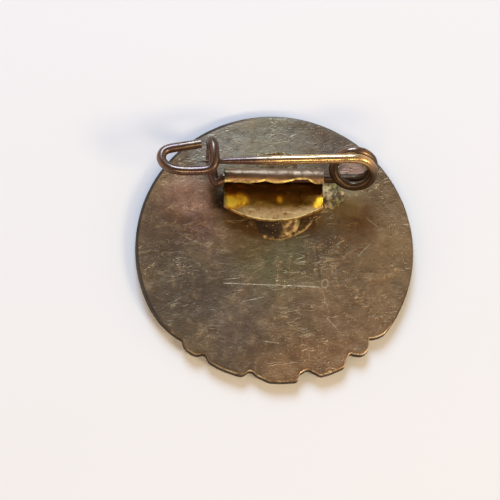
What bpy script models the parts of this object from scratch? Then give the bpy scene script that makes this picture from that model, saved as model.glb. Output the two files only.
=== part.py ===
"""A struck metal badge with a one-piece wire pin on its back.

The badge lies on its front, so its front face is at z = 0 and its back faces +Z.
+X runs along the pin from the catch to the spring, and +Y is the badge's top.
The banner's notches are at -Y. All sizes are in metres, written as millimetres times MM.
"""

import math

import bmesh
import bpy
from mathutils import Vector

MM = 0.001
GAP = 0.04 * MM  # between pieces that touch on the real badge

# The struck body
BADGE_RADIUS = 14.0 * MM
BADGE_THICKNESS = 1.2 * MM
OUTLINE_STEPS = 180
# The banner runs along the lower rim, and each of its folds notches it
BANNER_TURN = 1.0  # degrees that the banner's middle sits from square to the pin
FOLDS = (12.2, 34.0, 45.0)  # degrees of each fold from the banner's middle
RIM_CUTS = (  # degrees round from the banner's middle, and how far inside the round the rim is
    (-66.0, 0.0),
    (-58.0, 0.10),
    (-52.0, 0.30),
    (-48.0, 0.50),
    (-45.5, 0.66),
    (-43.5, 0.30),
    (-41.0, 0.20),
    (-38.0, 0.26),
    (-36.5, 0.40),
    (-34.6, 0.90),
    (-33.0, 0.84),
    (-31.0, 0.48),
    (-25.0, 0.40),
    (-16.0, 0.42),
    (-14.8, 0.56),
    (-13.2, 1.06),
    (-11.0, 1.02),
    (-9.8, 0.74),
    (-6.5, 0.50),
    (-3.8, 0.24),
    (0.0, 0.22),
    (7.4, 0.18),
    (8.2, 0.28),
    (9.4, 0.90),
    (12.6, 1.14),
    (14.2, 1.04),
    (16.2, 0.60),
    (17.8, 0.16),
    (22.0, 0.08),
    (28.4, 0.03),
    (29.6, 0.40),
    (33.8, 0.94),
    (35.0, 0.56),
    (37.0, 0.12),
    (38.6, 0.0),
    (41.0, 0.12),
    (43.4, 0.66),
    (44.8, 0.90),
    (46.0, 0.56),
    (48.8, 0.20),
    (50.5, 0.04),
    (54.0, 0.0),
)

# The enamel cells in the front
CELL_DEPTH = 0.4 * MM
CENTRE_CELL_RADIUS = 6.2 * MM
RIM_WIDTH = 1.2 * MM
WALL = 1.3 * MM  # metal between two cells
BANNER_WIDTH = 2.6 * MM
BANNER_END = 52.0  # degrees from the banner's middle to where the ring cell starts
CELL_MARGIN = 2.6  # degrees of metal beside each fold

# The joint between the badge and the clip
PAD_RADIUS = 4.85 * MM
PAD_THICKNESS = 0.15 * MM
PAD_CENTRE = (0.1 * MM, 5.6 * MM)
POST_RADIUS = 1.85 * MM
POST_HEIGHT = 0.75 * MM
POST_CENTRE = (0.2 * MM, 3.4 * MM)

# The folded clip
SHEET = 0.4 * MM
CLIP_WIDTH = 10.0 * MM
CLIP_CENTRE_X = -0.2 * MM
CLIP_FRONT_Y = 2.5 * MM  # the tip of its rounded front edge
CLIP_FRONT_RADIUS = 9.6 * MM
CLIP_LIP = 0.2 * MM  # how far the front edge turns up
CLIP_END_CURL = 0.3 * MM  # how far the two ends turn up
ROLL_CLEARANCE = 0.1 * MM
ROLL_END_ANGLE = 142.0  # where the sheet stops, from +Y over the top
CRIMP_DENT = 26.0  # degrees that its crimped edge falls back at the dent
CRIMP_DENT_AT = 0.54  # the dent's place, as a share of the half width
CRIMP_DENT_WIDTH = 0.22

# The pin's wire
WIRE_DIAMETER = 0.95 * MM
ARM_Y = 6.85 * MM
COIL_RADIUS = 2.0 * MM
COIL_GAP = 0.2 * MM  # between neighbouring turns
COIL_OFF_CLIP = 0.42 * MM  # from the clip's end to the coil
COIL_TURNS = 1.5
COIL_LEAN = 56.0  # degrees from +Z that the coil's axis leans towards -Y
COIL_YAW = -4.0  # degrees that it leans towards +X
NEEDLE_PAST_CATCH = 1.77 * MM
NEEDLE_DROP = 2.7 * MM
NEEDLE_SIDE = 0.3 * MM
NEEDLE_TAPER = (  # share of its length, share of the wire's radius
    (0.0, 1.0),
    (0.52, 1.0),
    (0.69, 0.86),
    (0.8, 0.68),
    (0.855, 0.54),
    (0.89, 0.45),
    (0.945, 0.26),
    (1.0, 0.1),
)
CATCH_OFF_CLIP = 1.15 * MM  # from the clip's end to the strand over the needle
CATCH_CLEARANCE = 0.06 * MM  # between the needle and the strand over it

WIRE_RADIUS = WIRE_DIAMETER / 2
BACK_Z = BADGE_THICKNESS
POST_Z = BACK_Z + GAP + PAD_THICKNESS + GAP
CLIP_Z = POST_Z + POST_HEIGHT + GAP  # the clip's underside
ROLL_RADIUS = WIRE_RADIUS + ROLL_CLEARANCE + SHEET / 2  # to the middle of the sheet
ARM_Z = CLIP_Z + SHEET + ROLL_CLEARANCE + WIRE_RADIUS
CATCH_X = CLIP_CENTRE_X - CLIP_WIDTH / 2 - CATCH_OFF_CLIP
COIL_X = CLIP_CENTRE_X + CLIP_WIDTH / 2 + COIL_OFF_CLIP + COIL_RADIUS + WIRE_RADIUS

COLOURS = {  # base colour, metallic, roughness
    "tombac": ((0.29, 0.22, 0.15, 1), 0.9, 0.5),
    "enamel_dark": ((0.02, 0.05, 0.16, 1), 0.0, 0.15),
    "enamel_light": ((0.62, 0.6, 0.52, 1), 0.0, 0.2),
    "solder": ((0.33, 0.27, 0.2, 1), 0.8, 0.6),
    "clip_brass": ((0.62, 0.43, 0.13, 1), 1.0, 0.28),
    "pin_wire": ((0.5, 0.4, 0.27, 1), 1.0, 0.3),
}


def clear_scene():
    for obj in list(bpy.data.objects):
        bpy.data.objects.remove(obj, do_unlink=True)


def collection(name):
    made = bpy.data.collections.new(name)
    bpy.context.scene.collection.children.link(made)
    return made


def material(name):
    made = bpy.data.materials.get(name)
    if made is None:
        made = bpy.data.materials.new(name)
        made.use_nodes = True
        colour, metallic, roughness = COLOURS[name]
        shader = made.node_tree.nodes["Principled BSDF"]
        shader.inputs["Base Color"].default_value = colour
        shader.inputs["Metallic"].default_value = metallic
        shader.inputs["Roughness"].default_value = roughness
        made.diffuse_color = colour
    return made


def place(name, data, finish, into):
    obj = bpy.data.objects.new(name, data)
    data.materials.clear()
    data.materials.append(material(finish))
    into.objects.link(obj)
    return obj


def smooth_shade(obj, angle=40):
    obj.data.shade_smooth()
    obj.data.set_sharp_from_angle(angle=math.radians(angle))


def as_mesh(curve_obj):
    """The curve as a mesh object of the same name, with its caps welded to its sides."""
    name = curve_obj.name
    into = curve_obj.users_collection[0]
    bpy.context.view_layer.update()
    evaluated = curve_obj.evaluated_get(bpy.context.evaluated_depsgraph_get())
    data = bpy.data.meshes.new_from_object(evaluated)
    matrix = curve_obj.matrix_world.copy()
    bpy.data.objects.remove(curve_obj, do_unlink=True)
    shape = bmesh.new()
    shape.from_mesh(data)
    bmesh.ops.remove_doubles(shape, verts=shape.verts, dist=0.001 * MM)
    shape.to_mesh(data)
    shape.free()
    obj = bpy.data.objects.new(name, data)
    obj.matrix_world = matrix
    into.objects.link(obj)
    return obj


def flat_solid(name, outline, low, high, finish, into):
    """The outline, a list of (x, y), filled and standing from z = low to z = high."""
    curve = bpy.data.curves.new(name, "CURVE")
    curve.dimensions = "2D"
    curve.fill_mode = "BOTH"
    curve.extrude = (high - low) / 2
    spline = curve.splines.new("POLY")
    spline.points.add(len(outline) - 1)
    for point, (x, y) in zip(spline.points, outline):
        point.co = (x, y, 0, 1)
    spline.use_cyclic_u = True
    obj = place(name, curve, finish, into)
    obj.location.z = (low + high) / 2
    return as_mesh(obj)


def polar(radius, degrees):
    """A point at this angle from the middle of the banner."""
    angle = math.radians(degrees + BANNER_TURN - 90)
    return radius * math.cos(angle), radius * math.sin(angle)


def between(table, at):
    """The value at this place in a table of (place, value), straight from row to row."""
    if at <= table[0][0]:
        return table[0][1]
    for (low, first), (high, second) in zip(table, table[1:]):
        if at <= high:
            return first + (second - first) * (at - low) / (high - low)
    return table[-1][1]


def body_outline():
    """Round, with a corner at each row of the rim's cuts."""
    turns = [i * 360 / OUTLINE_STEPS - 180 for i in range(OUTLINE_STEPS)]
    corners = [at for at, _ in RIM_CUTS]
    plain = [t for t in turns if min(abs(t - c) for c in corners) > 0.7]
    cut = {t: between(RIM_CUTS, t) * MM for t in plain + corners}
    return [polar(BADGE_RADIUS - cut[t], t) for t in sorted(cut)]


def sector(inner, outer, start, end, grow=0.0):
    """A ring sector between two angles, grown outwards by grow on every side."""
    steps = max(4, round(abs(end - start) / 5))
    middle = (inner + outer) / 2
    turn = math.degrees(grow / middle)
    angles = [start - turn + (end - start + 2 * turn) * i / steps for i in range(steps + 1)]
    outside = [polar(outer + grow, a) for a in angles]
    inside = [polar(inner - grow, a) for a in reversed(angles)]
    return outside + inside


def disc(radius, grow=0.0, steps=72):
    return [polar(radius + grow, 360 * i / steps) for i in range(steps)]


def enamel_cells():
    """name, finish, outline function: one for each cell in the front."""
    ring_inner = CENTRE_CELL_RADIUS + WALL
    ring_outer = BADGE_RADIUS - RIM_WIDTH
    banner_outer = BADGE_RADIUS - RIM_WIDTH - max(cut for _, cut in RIM_CUTS) * MM / 2
    banner_inner = banner_outer - BANNER_WIDTH
    middle, side = FOLDS[0] - CELL_MARGIN, FOLDS[0] + CELL_MARGIN
    side_end = FOLDS[1] - CELL_MARGIN
    return (
        ("enamel_centre", "enamel_dark", lambda g: disc(CENTRE_CELL_RADIUS, g)),
        (
            "enamel_ring",
            "enamel_light",
            lambda g: sector(ring_inner, ring_outer, BANNER_END, 360 - BANNER_END, g),
        ),
        (
            "enamel_banner_middle",
            "enamel_light",
            lambda g: sector(banner_inner, banner_outer, -middle, middle, g),
        ),
        (
            "enamel_banner_right",
            "enamel_light",
            lambda g: sector(banner_inner, banner_outer, side, side_end, g),
        ),
        (
            "enamel_banner_left",
            "enamel_light",
            lambda g: sector(banner_inner, banner_outer, -side_end, -side, g),
        ),
    )


def badge_body(parts, cutters):
    body = flat_solid("badge_body", body_outline(), 0.0, BADGE_THICKNESS, "tombac", parts)
    body.data.materials.clear()
    body.data.materials.append(material("tombac"))
    for name, finish, outline in enamel_cells():
        cutter = flat_solid("cut_" + name, outline(GAP), -WALL, CELL_DEPTH, finish, cutters)
        cutter.hide_render = True
        cutter.display_type = "WIRE"
        cut = body.modifiers.new("cut_" + name, "BOOLEAN")
        cut.operation = "DIFFERENCE"
        cut.object = cutter
        fill = flat_solid(name, outline(0.0), 0.0, CELL_DEPTH - GAP, finish, parts)
        fill.data.materials.clear()
        fill.data.materials.append(material(finish))


def turned(name, profile, centre, low, finish, into):
    """A profile of (radius, height), outer side first and top to bottom, spun about +Z."""
    data = bpy.data.meshes.new(name)
    shape = bmesh.new()
    points = [shape.verts.new((radius, 0, height)) for radius, height in profile]
    for first, second in zip(points, points[1:]):
        shape.edges.new((first, second))
    shape.to_mesh(data)
    shape.free()
    obj = place(name, data, finish, into)
    obj.location = (*centre, low)
    spin = obj.modifiers.new("spin", "SCREW")
    spin.steps = spin.render_steps = 40
    spin.use_merge_vertices = True
    spin.merge_threshold = 0.001 * MM
    return obj


def solder_pad(parts):
    """The low disc of solder that ran out round the clip's foot, thin at its edge."""
    edge = PAD_THICKNESS * 2
    profile = (
        (0.0, PAD_THICKNESS),
        (PAD_RADIUS - edge, PAD_THICKNESS),
        (PAD_RADIUS - edge / 4, PAD_THICKNESS * 0.6),
        (PAD_RADIUS, 0.0),
        (0.0, 0.0),
    )
    turned("solder_pad", profile, PAD_CENTRE, BACK_Z + GAP, "solder", parts)


def clip_post(parts):
    """The stub that the clip stands on, flared at its foot where the solder climbs it."""
    flare = POST_HEIGHT / 4
    profile = (
        (0.0, POST_HEIGHT),
        (POST_RADIUS, POST_HEIGHT),
        (POST_RADIUS, flare),
        (POST_RADIUS + flare, 0.0),
        (0.0, 0.0),
    )
    turned("clip_post", profile, POST_CENTRE, POST_Z, "solder", parts)


def clip_front_y(x):
    """The clip's rounded front edge."""
    return CLIP_FRONT_Y + CLIP_FRONT_RADIUS - math.sqrt(CLIP_FRONT_RADIUS**2 - x * x)


def clip_point(along, down):
    """A point in the middle of the sheet: along is -1 to 1 from end to end, and down is 0 at the
    front edge and 1 at the crimped edge."""
    x = along * CLIP_WIDTH / 2
    flat_share = 0.45
    if down < flat_share:
        share = down / flat_share
        front = clip_front_y(x)
        y = front + (ARM_Y - front) * share
        lift = CLIP_LIP * (1 - share) ** 2 + CLIP_END_CURL * along**4 * (1 - share) ** 1.5
        return x, y, CLIP_Z + SHEET / 2 + lift
    dent = CRIMP_DENT * math.exp(-(((along - CRIMP_DENT_AT) / CRIMP_DENT_WIDTH) ** 2))
    end = ROLL_END_ANGLE - dent + 3 * math.sin(9 * along)
    angle = math.radians(-90 + (end + 90) * (down - flat_share) / (1 - flat_share))
    return (
        x,
        ARM_Y + ROLL_RADIUS * math.cos(angle),
        ARM_Z + ROLL_RADIUS * math.sin(angle),
    )


def clip_plate(parts):
    """A half-moon of sheet brass whose straight side is rolled round the pin's arm."""
    data = bpy.data.meshes.new("clip_plate")
    shape = bmesh.new()
    bmesh.ops.create_grid(shape, x_segments=16, y_segments=22, size=1.0)
    for vert in shape.verts:
        vert.co = clip_point(vert.co.x, (vert.co.y + 1) / 2)
    bmesh.ops.recalc_face_normals(shape, faces=shape.faces)
    shape.to_mesh(data)
    shape.free()
    obj = place("clip_plate", data, "clip_brass", parts)
    obj.location.x = CLIP_CENTRE_X
    skin = obj.modifiers.new("sheet", "SOLIDIFY")
    skin.thickness = SHEET
    skin.offset = 0.0
    smooth_shade(obj)


def smooth_route(points, step):
    """Points about step apart on a smooth curve through the given ones (Catmull-Rom)."""
    points = [Vector(p) for p in points]
    ends = [2 * points[0] - points[1], *points, 2 * points[-1] - points[-2]]
    found = []
    for i in range(1, len(ends) - 2):
        a, b, c, d = ends[i - 1 : i + 3]
        count = max(1, round((c - b).length / step))
        for k in range(count):
            t = k / count
            found.append(
                0.5
                * (
                    2 * b
                    + (c - a) * t
                    + (2 * a - 5 * b + 4 * c - d) * t * t
                    + (3 * b - a - 3 * c + d) * t**3
                )
            )
    return [*found, points[-1]]


def wire(name, route, parts, origin=None, radii=None):
    """Round wire along a route of close points, with a radius for each point if it tapers.
    A moving piece gives its origin, on its joint's axis."""
    origin = origin or Vector((0, 0, 0))
    curve = bpy.data.curves.new(name, "CURVE")
    curve.dimensions = "3D"
    curve.bevel_depth = WIRE_RADIUS
    curve.bevel_resolution = 2
    curve.use_fill_caps = True
    spline = curve.splines.new("POLY")
    spline.points.add(len(route) - 1)
    for i, (point, at) in enumerate(zip(spline.points, route)):
        point.co = (*(at - origin), 1)
        if radii:
            point.radius = radii[i] / WIRE_RADIUS
    obj = place(name, curve, "pin_wire", parts)
    obj.location = origin
    return obj


def coil_axes():
    """The coil's axis, the direction of the arm in its plane, and the way from arm to needle."""
    lean, yaw = math.radians(COIL_LEAN), math.radians(COIL_YAW)
    axis = Vector((math.sin(yaw), -math.cos(yaw) * math.sin(lean), math.cos(yaw) * math.cos(lean)))
    across = (Vector((1, 0, 0)) - axis.x * axis).normalized()
    return axis, across, axis.cross(across)


def coil_centre():
    axis, _, up = coil_axes()
    pitch = WIRE_DIAMETER + COIL_GAP
    return Vector((COIL_X, ARM_Y, ARM_Z)) + COIL_RADIUS * up + COIL_TURNS / 2 * pitch * axis


def coil_point(turn):
    """A point on the coil, turn from 0 at the arm to COIL_TURNS at the needle."""
    axis, across, up = coil_axes()
    angle = 2 * math.pi * turn
    pitch = WIRE_DIAMETER + COIL_GAP
    round_it = COIL_RADIUS * (math.sin(angle) * across - math.cos(angle) * up)
    return coil_centre() + round_it + (turn - COIL_TURNS / 2) * pitch * axis


def coil_part(name, start, end, parts, origin=None):
    trim = GAP / 2 / (2 * math.pi * COIL_RADIUS)
    steps = round(32 * (end - start))
    first, last = start + trim, end - trim
    turns = [first + (last - first) * i / steps for i in range(steps + 1)]
    return wire(name, [coil_point(t) for t in turns], parts, origin)


def needle_line(share):
    """A point on the needle's straight line: share 0 at the coil, 1 at the point."""
    root = coil_point(COIL_TURNS)
    reach = root.x - CATCH_X + NEEDLE_PAST_CATCH
    return root + Vector((-reach, NEEDLE_SIDE, -NEEDLE_DROP)) * share


def needle_radius(share):
    """Full wire over its first half, then ground down to a long point."""
    return WIRE_RADIUS * between(NEEDLE_TAPER, share)


def pin_needle(parts):
    root = coil_point(COIL_TURNS)
    heading = (root - coil_point(COIL_TURNS - 0.01)).normalized()
    start = root + heading * GAP / 2
    shares = (0.08, 0.16, 0.32, 0.52, 0.69, 0.8, 0.855, 0.89, 0.945, 1.0)
    through = [start, start + heading * 0.4 * MM, *[needle_line(s) for s in shares]]
    route = smooth_route(through, 0.7 * MM)
    length = (route[-1] - route[0]).length
    radii = [needle_radius((p - route[0]).length / length) for p in route]
    return wire("pin_needle", route, parts, root, radii)


def catch_route():
    """From the arm's end at the clip: down round the open side, up behind the needle, over it,
    and out along the hairpin that guards its point."""
    left = CLIP_CENTRE_X - CLIP_WIDTH / 2
    root, point = needle_line(0), needle_line(1)
    share = (root.x - CATCH_X) / (root.x - point.x)
    over = needle_line(share).z + needle_radius(share) + CATCH_CLEARANCE + WIRE_RADIUS
    # x from the clip's left end or from the strand over the needle, y from the arm, and
    # z from the arm or from that strand
    lower = (
        (0.35, 0.0, 0.0),
        (-0.1, -0.1, 0.0),
        (-0.45, -0.5, -0.1),
        (-0.8, -0.5, -0.25),
        (-1.05, 0.15, -0.35),
        (-1.2, 1.05, -0.35),
        (-1.27, 2.15, -0.05),
        (-1.25, 3.1, 0.75),
    )
    upper = (
        (-0.25, 3.35, -1.2),
        (-0.15, 3.05, -0.45),
        (-0.05, 2.35, 0.0),
        (0.0, 1.45, 0.1),
        (0.0, 0.75, 0.03),
        (-0.25, 0.2, -0.03),
        (-0.95, -0.07, -0.1),
        (-2.95, -0.13, -0.2),
        (-4.25, 0.1, -0.3),
        (-5.05, 0.65, -0.35),
        (-5.3, 1.25, -0.4),
        (-5.05, 1.95, -0.5),
        (-4.35, 2.3, -0.55),
        (-3.25, 2.5, -0.6),
        (-1.3, 2.9, -0.7),
    )
    strands = ((lower, left, ARM_Z), (upper, CATCH_X, over))
    return [
        Vector((start + x * MM, ARM_Y + y * MM, base + z * MM))
        for points, start, base in strands
        for x, y, z in points
    ]


def pin_back_wire(parts):
    """The rest of the pin's wire: the arm through the clip, the catch and the guard."""
    coil_end = coil_point(0.0) - Vector((GAP / 2, 0, 0))
    arm = [coil_end, Vector((COIL_X - 1.2 * MM, ARM_Y, ARM_Z)), Vector((0, ARM_Y, ARM_Z))]
    return wire("pin_back_wire", smooth_route([*arm, *catch_route()], 0.42 * MM), parts)


def main():
    clear_scene()
    parts = collection("struck_badge")
    cutters = collection("cutters")
    badge_body(parts, cutters)
    solder_pad(parts)
    clip_post(parts)
    clip_plate(parts)
    pin_back_wire(parts)
    coil_part("coil_back_turn", 0.0, COIL_TURNS / 2, parts)
    coil_part("coil_front_turn", COIL_TURNS / 2, COIL_TURNS, parts, coil_centre())
    pin_needle(parts)


main()
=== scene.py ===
"""A struck metal badge lying on its front, with its folded clip and wire pin uppermost."""

import math

import bmesh
import bpy
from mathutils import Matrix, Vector, noise


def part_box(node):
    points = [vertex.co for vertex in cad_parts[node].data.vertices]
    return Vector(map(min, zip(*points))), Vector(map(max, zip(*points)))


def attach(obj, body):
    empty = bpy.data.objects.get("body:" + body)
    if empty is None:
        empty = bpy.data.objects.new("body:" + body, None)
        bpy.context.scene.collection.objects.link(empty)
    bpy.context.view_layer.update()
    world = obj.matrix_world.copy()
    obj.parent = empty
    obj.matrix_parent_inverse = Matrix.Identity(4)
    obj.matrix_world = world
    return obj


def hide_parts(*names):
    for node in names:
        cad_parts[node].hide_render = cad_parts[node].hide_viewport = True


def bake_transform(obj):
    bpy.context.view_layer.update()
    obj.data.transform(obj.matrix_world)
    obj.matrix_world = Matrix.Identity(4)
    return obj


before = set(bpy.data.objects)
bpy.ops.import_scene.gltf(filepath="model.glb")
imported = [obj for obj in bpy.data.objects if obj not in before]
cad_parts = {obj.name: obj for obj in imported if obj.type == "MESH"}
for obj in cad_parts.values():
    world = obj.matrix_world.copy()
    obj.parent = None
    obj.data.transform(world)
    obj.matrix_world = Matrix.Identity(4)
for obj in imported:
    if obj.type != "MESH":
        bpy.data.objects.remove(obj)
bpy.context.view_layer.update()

# ---------------------------------------------------------------------------
# The table and the light: the badge lies on a sheet of white paper. A broad
# cool light stands behind its top edge, a small warm one at its right and a
# warm strip in front, so its shadows are blue at the left and warm below.
# ---------------------------------------------------------------------------

MM = 0.001
badge_low, badge_high = (Vector(corner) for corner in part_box("badge_body"))
BACK_Z = badge_high.z

scene = bpy.context.scene
scene.view_settings.view_transform = "Standard"
scene.view_settings.look = "None"

camera_data = bpy.data.cameras.new("studio_camera")
camera = bpy.data.objects.new("studio_camera", camera_data)
scene.collection.objects.link(camera)
scene.camera = camera
CAMERA_AWAY = 450 * MM
FRAME_WIDTH = 50.2 * MM
camera_way = Vector((-0.079, -0.281, 0.956)).normalized()
camera_aim = Vector((-2.5 * MM, -0.15 * MM, BACK_Z))
camera.location = camera_aim + camera_way * CAMERA_AWAY
camera.rotation_mode = "QUATERNION"
camera.rotation_quaternion = Vector((0, 0, 1)).rotation_difference(camera_way)
camera_data.sensor_width = 36
camera_data.lens = 36 * CAMERA_AWAY / FRAME_WIDTH
camera_data.clip_start = 0.01
camera_data.clip_end = 10


def new_material(name):
    """A material with its node tree cleared to a Principled shader and an output."""
    made = bpy.data.materials.new(name)
    made.use_nodes = True
    return made, made.node_tree, made.node_tree.nodes["Principled BSDF"]


def feed(tree, socket, value):
    """Link a node's output to this input, or set the input to a plain value."""
    if isinstance(value, bpy.types.NodeSocket):
        tree.links.new(value, socket)
    else:
        socket.default_value = value


def add_node(tree, kind, **settings):
    """A node with its properties set by name, and its inputs by inputs={name: value or output}."""
    inputs = settings.pop("inputs", {})
    node = tree.nodes.new(kind)
    for key, value in settings.items():
        setattr(node, key, value)
    for key, value in inputs.items():
        feed(tree, node.inputs[key], value)
    return node


def calculate(tree, operation, first, second=0.0, clamp=False):
    return add_node(
        tree, "ShaderNodeMath", operation=operation, use_clamp=clamp, inputs={0: first, 1: second}
    ).outputs[0]


def times(tree, first, second, clamp=False):
    return calculate(tree, "MULTIPLY", first, second, clamp)


def plus(tree, first, second, clamp=False):
    return calculate(tree, "ADD", first, second, clamp)


def minus(tree, first, second, clamp=False):
    return calculate(tree, "SUBTRACT", first, second, clamp)


def ramp(tree, value, low, high, out_low=0.0, out_high=1.0):
    """The value stretched smoothly from low..high to out_low..out_high."""
    sides = {"From Min": low, "From Max": high, "To Min": out_low, "To Max": out_high}
    return add_node(
        tree, "ShaderNodeMapRange", interpolation_type="SMOOTHSTEP", inputs={"Value": value, **sides}
    ).outputs[0]


def blend_colours(tree, share, first, second, mode="MIX"):
    node = add_node(tree, "ShaderNodeMix", data_type="RGBA", blend_type=mode)
    for name, kind, value in (("Factor", "VALUE", share), ("A", "RGBA", first), ("B", "RGBA", second)):
        feed(tree, next(s for s in node.inputs if s.name == name and s.type == kind), value)
    return next(s for s in node.outputs if s.type == "RGBA")


def rgb(red, green, blue):
    """A colour from 0 to 255 in each part, as the linear value that a shader takes."""
    linear = [((c / 255 + 0.055) / 1.055) ** 2.4 if c > 10 else c / 255 / 12.92 for c in (red, green, blue)]
    return (*linear, 1.0)


def finish_piece(name, shape, sharp=None):
    """The shape as an object of the scene, shaded smooth except over edges sharper than this."""
    mesh = bpy.data.meshes.new(name)
    shape.to_mesh(mesh)
    shape.free()
    mesh.shade_smooth()
    if sharp:
        mesh.set_sharp_from_angle(angle=math.radians(sharp))
    made = bpy.data.objects.new(name, mesh)
    scene.collection.objects.link(made)
    return made


PAPER_DROP = 0.02 * MM  # keeps the paper just clear of the badge's face
floor_shape = bmesh.new()
bmesh.ops.create_grid(floor_shape, x_segments=2, y_segments=2, size=2.0)
floor = finish_piece("paper_sheet", floor_shape)
floor.location.z = -PAPER_DROP
paper, _, paper_shader = new_material("white_paper")
paper_shader.inputs["Base Color"].default_value = (0.86, 0.85, 0.85, 1)
paper_shader.inputs["Roughness"].default_value = 0.9
paper_shader.inputs["Specular IOR Level"].default_value = 0.2
floor.data.materials.append(paper)


def soft_light(name, way, away, size, power, colour, wide=None):
    """A round lamp that shines at the middle of the badge, or a strip when it is given a width."""
    data = bpy.data.lights.new(name, "AREA")
    data.shape = "RECTANGLE" if wide else "DISK"
    data.size = wide or size
    if wide:
        data.size_y = size
    data.energy = power
    data.color = colour
    lamp = bpy.data.objects.new(name, data)
    scene.collection.objects.link(lamp)
    way = Vector(way).normalized()
    lamp.location = way * away
    lamp.rotation_mode = "QUATERNION"
    lamp.rotation_quaternion = Vector((0, 0, 1)).rotation_difference(way)


soft_light("warm_lamp", (0.8, -0.45, 0.75), 0.5, size=0.16, power=0.72, colour=(1.0, 0.86, 0.56))
soft_light(
    "warm_front", (0.0, -0.76, 0.84), 0.55, size=0.08, power=0.74, colour=(1.0, 0.81, 0.48), wide=0.3
)
soft_light("cool_window", (-0.1, 0.9, 0.75), 0.6, size=0.32, power=3.75, colour=(0.47, 0.68, 0.95))

world = bpy.data.worlds.new("studio_room")
scene.world = world
world.use_nodes = True
sky = world.node_tree
coordinates = add_node(sky, "ShaderNodeTexCoord")
across_room = add_node(sky, "ShaderNodeSeparateXYZ", inputs={0: coordinates.outputs["Generated"]})
sideways = calculate(sky, "ABSOLUTE", across_room.outputs["X"])
room = blend_colours(
    sky, ramp(sky, sideways, 0.3, 0.8), (0.17, 0.13, 0.1, 1), (0.92, 0.66, 0.5, 1)
)
background = sky.nodes["Background"]
sky.links.new(room, background.inputs["Color"])
background.inputs["Strength"].default_value = 1.0

# ---------------------------------------------------------------------------
# The badge: a disc of tombac, the red brass of badges, struck in a die. The
# folds of the banner on its front notch its lower rim. Its back has gone
# brown and blotchy, and only its edges are still rubbed bright.
# ---------------------------------------------------------------------------

BADGE_RADIUS = (badge_high.x - badge_low.x) / 2
BANNER_TURN = 1.0
FOLDS = (12.2, 34.0)  # degrees from the banner's middle, where it is folded at either side
RIM_CUTS = (  # degrees from the banner's middle, and how far the rim is cut in there
    (-66.0, 0.0), (-58.0, 0.10), (-52.0, 0.30), (-48.0, 0.50), (-45.5, 0.66), (-43.5, 0.30),
    (-41.0, 0.20), (-38.0, 0.26), (-36.5, 0.40), (-34.6, 0.90), (-33.0, 0.84), (-31.0, 0.48),
    (-25.0, 0.40), (-16.0, 0.42), (-14.8, 0.56), (-13.2, 1.06), (-11.0, 1.02), (-9.8, 0.74),
    (-6.5, 0.50), (-3.8, 0.24), (0.0, 0.22), (7.4, 0.18), (8.2, 0.28), (9.4, 0.90),
    (12.6, 1.14), (14.2, 1.04), (16.2, 0.60), (17.8, 0.16), (22.0, 0.08), (28.4, 0.03),
    (29.6, 0.40), (33.8, 0.94), (35.0, 0.56), (37.0, 0.12), (38.6, 0.0), (41.0, 0.12),
    (43.4, 0.66), (44.8, 0.90), (46.0, 0.56), (48.8, 0.20), (50.5, 0.04), (54.0, 0.0),
)
RIM_WIDTH = 1.2 * MM
CENTRE_CELL_RADIUS = 6.2 * MM
CELL_WALL = 1.3 * MM
BANNER_WIDTH = 2.6 * MM
BANNER_END = 52.0
CELL_MARGIN = 2.6
CELL_DEPTH = 0.36 * MM
BACK_EDGE = 0.16 * MM  # how far the back edge is rounded


def smooth(low, high, value):
    share = min(1.0, max(0.0, (value - low) / (high - low)))
    return share * share * (3 - 2 * share)


def polar(radius, degrees, height=0.0):
    angle = math.radians(degrees + BANNER_TURN - 90)
    return Vector((radius * math.cos(angle), radius * math.sin(angle), height))


def between(table, at):
    """The value at this place in a table of (place, value), straight from row to row."""
    if at <= table[0][0]:
        return table[0][1]
    for (low, first), (high, second) in zip(table, table[1:]):
        if at <= high:
            return first + (second - first) * (at - low) / (high - low)
    return table[-1][1]


def rim_radius(degrees):
    """The badge's outline, with each corner of the folds eased a little."""
    cut = sum(between(RIM_CUTS, degrees + off) for off in (-0.5, -0.25, 0.0, 0.25, 0.5)) / 5
    return BADGE_RADIUS - cut * MM


def banner_radii():
    outer = BADGE_RADIUS - RIM_WIDTH - max(cut for _, cut in RIM_CUTS) * MM / 2
    return outer - BANNER_WIDTH, outer


def enamel_cells():
    """(name, inner radius, outer radius, first angle, last angle) of each cell in the front."""
    inner, outer = banner_radii()
    middle, side, side_end = FOLDS[0] - CELL_MARGIN, FOLDS[0] + CELL_MARGIN, FOLDS[1] - CELL_MARGIN
    ring_inner, ring_outer = CENTRE_CELL_RADIUS + CELL_WALL, BADGE_RADIUS - RIM_WIDTH
    return (
        ("enamel_centre", 0.0, CENTRE_CELL_RADIUS, -180.0, 180.0),
        ("enamel_ring", ring_inner, ring_outer, BANNER_END, 360.0 - BANNER_END),
        ("enamel_banner_middle", inner, outer, -middle, middle),
        ("enamel_banner_right", inner, outer, side, side_end),
        ("enamel_banner_left", inner, outer, -side_end, -side),
    )


def in_cell(radius, degrees):
    for _, inner, outer, first, last in enamel_cells():
        for turn in (degrees, degrees + 360):
            if inner < radius < outer and first < turn < last:
                return True
    return False


def back_height(x, y):
    """The back of a struck disc is never quite flat: it echoes the front and sinks a little."""
    at = Vector((x, y, 0)) / MM
    wave = noise.noise(at * 0.13 + Vector((3.1, 0.4, 0))) * 0.05
    wave += noise.noise(at * 0.42 + Vector((0, 7.7, 0))) * 0.022
    wave += noise.noise(at * 1.5 + Vector((5.2, 1.3, 0))) * 0.006
    edge = smooth(0.9, 1.0, math.hypot(x, y) / BADGE_RADIUS)
    return BACK_Z + (wave - 0.045) * (1 - 0.7 * edge) * MM


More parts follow.
